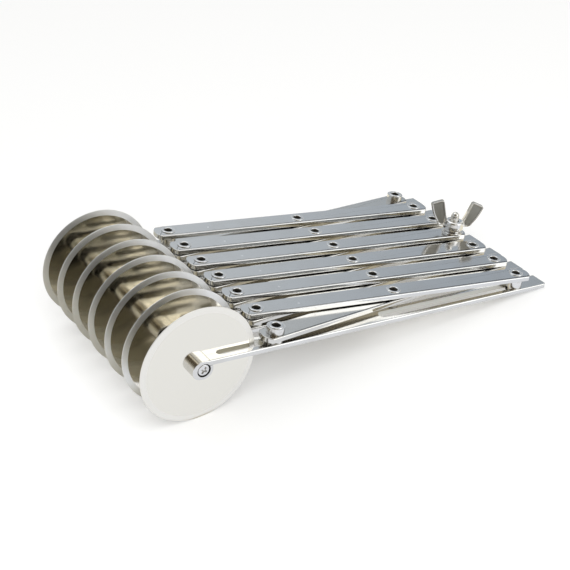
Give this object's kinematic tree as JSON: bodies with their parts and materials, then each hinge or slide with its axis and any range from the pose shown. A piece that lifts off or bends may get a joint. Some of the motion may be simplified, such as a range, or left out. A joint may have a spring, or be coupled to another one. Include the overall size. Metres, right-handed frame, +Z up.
{
  "type": "expandable dough cutter",
  "caption": "Row of round blade wheels on flat fork arms, joined by a lazy-tongs lattice that a wing nut locks, for cutting dough into even strips.",
  "frame": {"origin": "centre of the footprint at the level of the surface that it stands on", "axes": "+X from the blade wheels to the arms' rear ends, +Y along the row towards its far end, +Z up"},
  "size_m": [0.2242, 0.1092, 0.055],
  "materials": {
    "arm_steel": "satin polished stainless steel",
    "link_steel": "near-mirror satin stainless steel",
    "blade_steel": "polished stainless steel with a ground bevel",
    "bright_steel": "bright polished steel"
  },
  "bodies": {
    "arm_1": {"arm_1": "arm_steel", "axle_screw_1": "bright_steel", "front_rivet_1": "bright_steel", "front_spacer": "bright_steel"},
    "arm_2": {"arm_2": "arm_steel", "axle_screw_2": "bright_steel", "front_rivet_2": "bright_steel"},
    "arm_3": {"arm_3": "arm_steel", "axle_screw_3": "bright_steel", "front_rivet_3": "bright_steel"},
    "arm_4": {"arm_4": "arm_steel", "axle_screw_4": "bright_steel", "front_rivet_4": "bright_steel"},
    "arm_5": {"arm_5": "arm_steel", "axle_screw_5": "bright_steel", "front_rivet_5": "bright_steel"},
    "arm_6": {"arm_6": "arm_steel", "axle_screw_6": "bright_steel", "front_rivet_6": "bright_steel"},
    "arm_7": {"arm_7": "arm_steel", "axle_screw_7": "bright_steel", "front_rivet_7": "bright_steel", "front_collar": "bright_steel"},
    "top_1": {"top_link_1": "link_steel", "link_rivets_1": "bright_steel"},
    "lower_1": {"lower_link_1": "link_steel", "link_washers_1": "bright_steel", "rear_rivet_1": "bright_steel", "rear_collar": "bright_steel"},
    "top_2": {"top_link_2": "link_steel", "link_rivets_2": "bright_steel"},
    "lower_2": {"lower_link_2": "link_steel", "link_washers_2": "bright_steel"},
    "top_3": {"top_link_3": "link_steel", "link_rivets_3": "bright_steel", "clamp_stud": "bright_steel", "clamp_washers": "bright_steel"},
    "lower_3": {"lower_link_3": "link_steel", "link_washers_3": "bright_steel"},
    "top_4": {"top_link_4": "link_steel", "link_rivets_4": "bright_steel"},
    "lower_4": {"lower_link_4": "link_steel", "link_washers_4": "bright_steel"},
    "top_5": {"top_link_5": "link_steel", "link_rivets_5": "bright_steel"},
    "lower_5": {"lower_link_5": "link_steel", "link_washers_5": "bright_steel"},
    "top_6": {"top_link_6": "link_steel", "link_rivets_6": "bright_steel", "rear_spacer": "bright_steel"},
    "lower_6": {"lower_link_6": "link_steel", "link_washers_6": "bright_steel"},
    "wheel_1": {"wheel_1": "blade_steel"},
    "wheel_2": {"wheel_2": "blade_steel"},
    "wheel_3": {"wheel_3": "blade_steel"},
    "wheel_4": {"wheel_4": "blade_steel"},
    "wheel_5": {"wheel_5": "blade_steel"},
    "wheel_6": {"wheel_6": "blade_steel"},
    "wheel_7": {"wheel_7": "blade_steel"},
    "wing_nut": {"wing_nut": "bright_steel"}
  },
  "joints": [
    {"name": "expand", "type": "hinge", "parent": "arm_4", "child": "top_4", "pos_m": [-0.04602, 0, 0.03166], "axis": [-0.1487, 0, -0.9889], "range_deg": [-1, 58.4]},
    {"name": "crossing_4", "type": "hinge", "parent": "top_4", "child": "lower_4", "pos_m": [0.02416, -0.00817, 0.01964], "axis": [0.1487, 0, 0.9889], "range_deg": [-2, 116.8]},
    {"name": "arm_5_turn", "type": "hinge", "parent": "lower_4", "child": "arm_5", "pos_m": [-0.04645, -0.01635, 0.0288], "axis": [-0.1487, 0, -0.9889], "range_deg": [-1, 58.4]},
    {"name": "top_link_5_turn", "type": "hinge", "parent": "arm_5", "child": "top_5", "pos_m": [-0.04602, -0.01635, 0.03166], "axis": [-0.1487, 0, -0.9889], "range_deg": [-1, 58.4]},
    {"name": "crossing_5", "type": "hinge", "parent": "top_5", "child": "lower_5", "pos_m": [0.02416, -0.02453, 0.01964], "axis": [0.1487, 0, 0.9889], "range_deg": [-2, 116.8]},
    {"name": "arm_6_turn", "type": "hinge", "parent": "lower_5", "child": "arm_6", "pos_m": [-0.04645, -0.0327, 0.0288], "axis": [-0.1487, 0, -0.9889], "range_deg": [-1, 58.4]},
    {"name": "top_link_6_turn", "type": "hinge", "parent": "arm_6", "child": "top_6", "pos_m": [-0.04602, -0.0327, 0.03166], "axis": [-0.1487, 0, -0.9889], "range_deg": [-1, 58.4]},
    {"name": "crossing_6", "type": "hinge", "parent": "top_6", "child": "lower_6", "pos_m": [0.02416, -0.04088, 0.01964], "axis": [0.1487, 0, 0.9889], "range_deg": [-2, 116.8]},
    {"name": "arm_7_turn", "type": "hinge", "parent": "lower_6", "child": "arm_7", "pos_m": [-0.04645, -0.04905, 0.0288], "axis": [-0.1487, 0, -0.9889], "range_deg": [-1, 58.4]},
    {"name": "lower_link_3_turn", "type": "hinge", "parent": "arm_4", "child": "lower_3", "pos_m": [-0.04645, 0, 0.0288], "axis": [0.1487, 0, 0.9889], "range_deg": [-1, 58.4]},
    {"name": "crossing_3", "type": "hinge", "parent": "lower_3", "child": "top_3", "pos_m": [0.02416, 0.00817, 0.01964], "axis": [-0.1487, 0, -0.9889], "range_deg": [-2, 116.8]},
    {"name": "arm_3_turn", "type": "hinge", "parent": "top_3", "child": "arm_3", "pos_m": [-0.04602, 0.01635, 0.03166], "axis": [0.1487, 0, 0.9889], "range_deg": [-1, 58.4]},
    {"name": "lower_link_2_turn", "type": "hinge", "parent": "arm_3", "child": "lower_2", "pos_m": [-0.04645, 0.01635, 0.0288], "axis": [0.1487, 0, 0.9889], "range_deg": [-1, 58.4]},
    {"name": "crossing_2", "type": "hinge", "parent": "lower_2", "child": "top_2", "pos_m": [0.02416, 0.02453, 0.01964], "axis": [-0.1487, 0, -0.9889], "range_deg": [-2, 116.8]},
    {"name": "arm_2_turn", "type": "hinge", "parent": "top_2", "child": "arm_2", "pos_m": [-0.04602, 0.0327, 0.03166], "axis": [0.1487, 0, 0.9889], "range_deg": [-1, 58.4]},
    {"name": "lower_link_1_turn", "type": "hinge", "parent": "arm_2", "child": "lower_1", "pos_m": [-0.04645, 0.0327, 0.0288], "axis": [0.1487, 0, 0.9889], "range_deg": [-1, 58.4]},
    {"name": "crossing_1", "type": "hinge", "parent": "lower_1", "child": "top_1", "pos_m": [0.02416, 0.04088, 0.01964], "axis": [-0.1487, 0, -0.9889], "range_deg": [-2, 116.8]},
    {"name": "arm_1_turn", "type": "hinge", "parent": "top_1", "child": "arm_1", "pos_m": [-0.04602, 0.04905, 0.03166], "axis": [0.1487, 0, 0.9889], "range_deg": [-1, 58.4]},
    {"name": "wheel_1_spin", "type": "hinge", "parent": "arm_1", "child": "wheel_1", "pos_m": [-0.08457, 0.04905, 0.0275], "axis": [0, 1, 0], "continuous": true},
    {"name": "wheel_2_spin", "type": "hinge", "parent": "arm_2", "child": "wheel_2", "pos_m": [-0.08457, 0.0327, 0.0275], "axis": [0, 1, 0], "continuous": true},
    {"name": "wheel_3_spin", "type": "hinge", "parent": "arm_3", "child": "wheel_3", "pos_m": [-0.08457, 0.01635, 0.0275], "axis": [0, 1, 0], "continuous": true},
    {"name": "wheel_4_spin", "type": "hinge", "parent": "arm_4", "child": "wheel_4", "pos_m": [-0.08457, 0, 0.0275], "axis": [0, 1, 0], "continuous": true},
    {"name": "wheel_5_spin", "type": "hinge", "parent": "arm_5", "child": "wheel_5", "pos_m": [-0.08457, -0.01635, 0.0275], "axis": [0, 1, 0], "continuous": true},
    {"name": "wheel_6_spin", "type": "hinge", "parent": "arm_6", "child": "wheel_6", "pos_m": [-0.08457, -0.0327, 0.0275], "axis": [0, 1, 0], "continuous": true},
    {"name": "wheel_7_spin", "type": "hinge", "parent": "arm_7", "child": "wheel_7", "pos_m": [-0.08457, -0.04905, 0.0275], "axis": [0, 1, 0], "continuous": true},
    {"name": "wing_nut_turn", "type": "hinge", "parent": "top_3", "child": "wing_nut", "pos_m": [0.09523, 0, 0.0136], "axis": [0.1487, 0, 0.9889], "range_deg": [-360, 360]}
  ],
  "couplings": [
    {"joint": "crossing_4", "follows": "expand", "ratio": 2},
    {"joint": "arm_5_turn", "follows": "expand", "ratio": 1},
    {"joint": "top_link_5_turn", "follows": "expand", "ratio": 1},
    {"joint": "crossing_5", "follows": "expand", "ratio": 2},
    {"joint": "arm_6_turn", "follows": "expand", "ratio": 1},
    {"joint": "top_link_6_turn", "follows": "expand", "ratio": 1},
    {"joint": "crossing_6", "follows": "expand", "ratio": 2},
    {"joint": "arm_7_turn", "follows": "expand", "ratio": 1},
    {"joint": "lower_link_3_turn", "follows": "expand", "ratio": 1},
    {"joint": "crossing_3", "follows": "expand", "ratio": 2},
    {"joint": "arm_3_turn", "follows": "expand", "ratio": 1},
    {"joint": "lower_link_2_turn", "follows": "expand", "ratio": 1},
    {"joint": "crossing_2", "follows": "expand", "ratio": 2},
    {"joint": "arm_2_turn", "follows": "expand", "ratio": 1},
    {"joint": "lower_link_1_turn", "follows": "expand", "ratio": 1},
    {"joint": "crossing_1", "follows": "expand", "ratio": 2},
    {"joint": "arm_1_turn", "follows": "expand", "ratio": 1}
  ]
}
